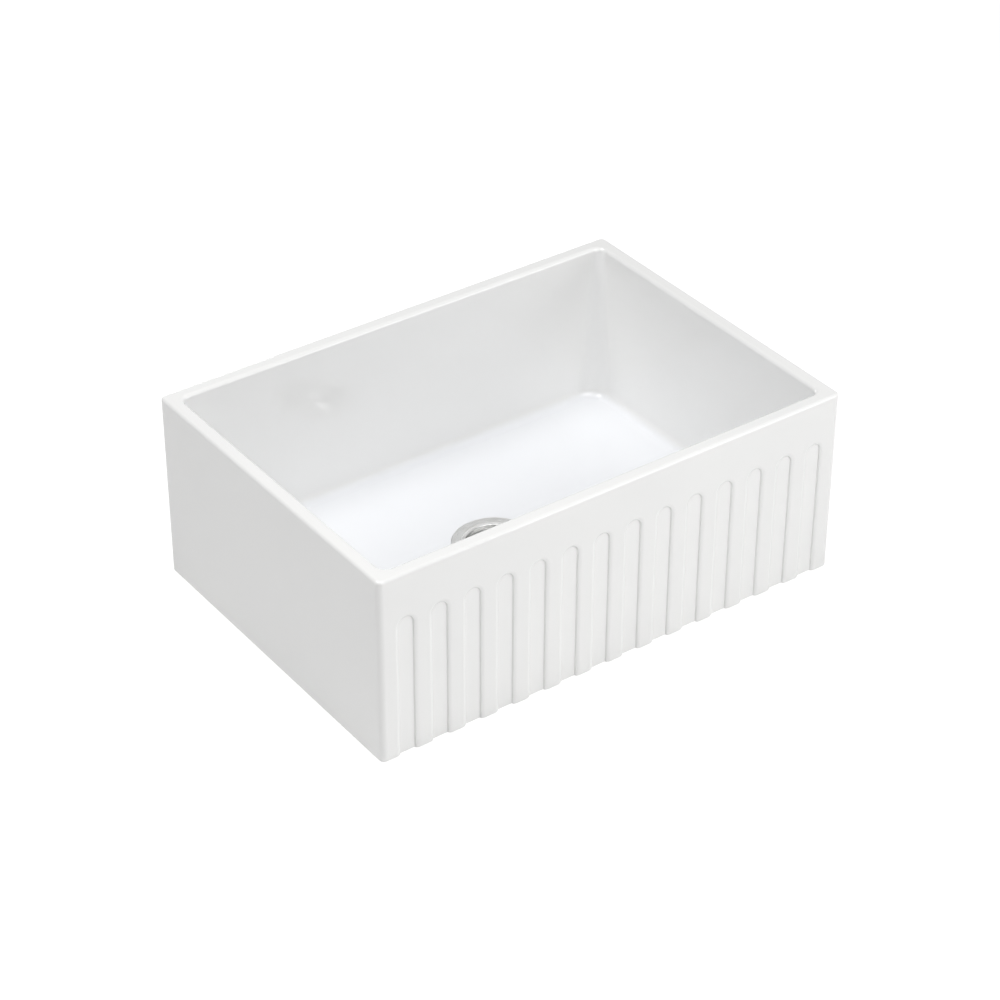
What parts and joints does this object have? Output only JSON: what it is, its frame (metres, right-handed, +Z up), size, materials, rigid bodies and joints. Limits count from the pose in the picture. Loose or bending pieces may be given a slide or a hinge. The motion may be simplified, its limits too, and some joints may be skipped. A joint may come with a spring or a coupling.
{
  "type": "farmhouse apron front sink",
  "caption": "White glazed fireclay apron front kitchen sink with a fluted front, round-cornered bowl, and a steel strainer waste with a lift-out basket and stopper.",
  "frame": {"origin": "middle of the basin's flat base, on the plane that rests on the cabinet", "axes": "+Z up out of the bowl, the fluted apron faces -Y, +X to the right of someone who stands before the apron and faces it"},
  "size_m": [0.685, 0.481, 0.3993],
  "materials": {
    "glaze": "glossy white glaze on fireclay",
    "rubber": "matt black moulded rubber",
    "stainless": "satin stainless steel",
    "stainless_dark": "as-stamped stainless steel",
    "fibre": "pressed fibre",
    "nut_metal": "zinc plated die casting",
    "nylon": "white nylon",
    "brass": "machined brass"
  },
  "bodies": {
    "sink": {"basin": "glaze", "flange_gasket": "rubber", "strainer_body": "stainless", "rubber_washer": "rubber", "friction_ring": "fibre", "lock_nut": "nut_metal", "outlet_spud": "brass", "outlet_cross": "stainless_dark", "tailpiece_washer": "nylon", "tailpiece": "stainless", "coupling_nut": "nut_metal"},
    "basket": {"basket_cup": "stainless", "guide_bush": "stainless", "guide_nut": "stainless", "stem_seal": "rubber"},
    "stopper": {"stem": "stainless", "knob": "stainless", "stopper_plate": "stainless", "stopper": "rubber", "plug_nut": "brass"}
  },
  "joints": [
    {"name": "basket_lift", "type": "slide", "parent": "sink", "child": "basket", "axis": [0, 0, 1], "range_m": [0, 0.32]},
    {"name": "stopper_lift", "type": "slide", "parent": "basket", "child": "stopper", "axis": [0, 0, 1], "range_m": [0, 0.01]}
  ]
}
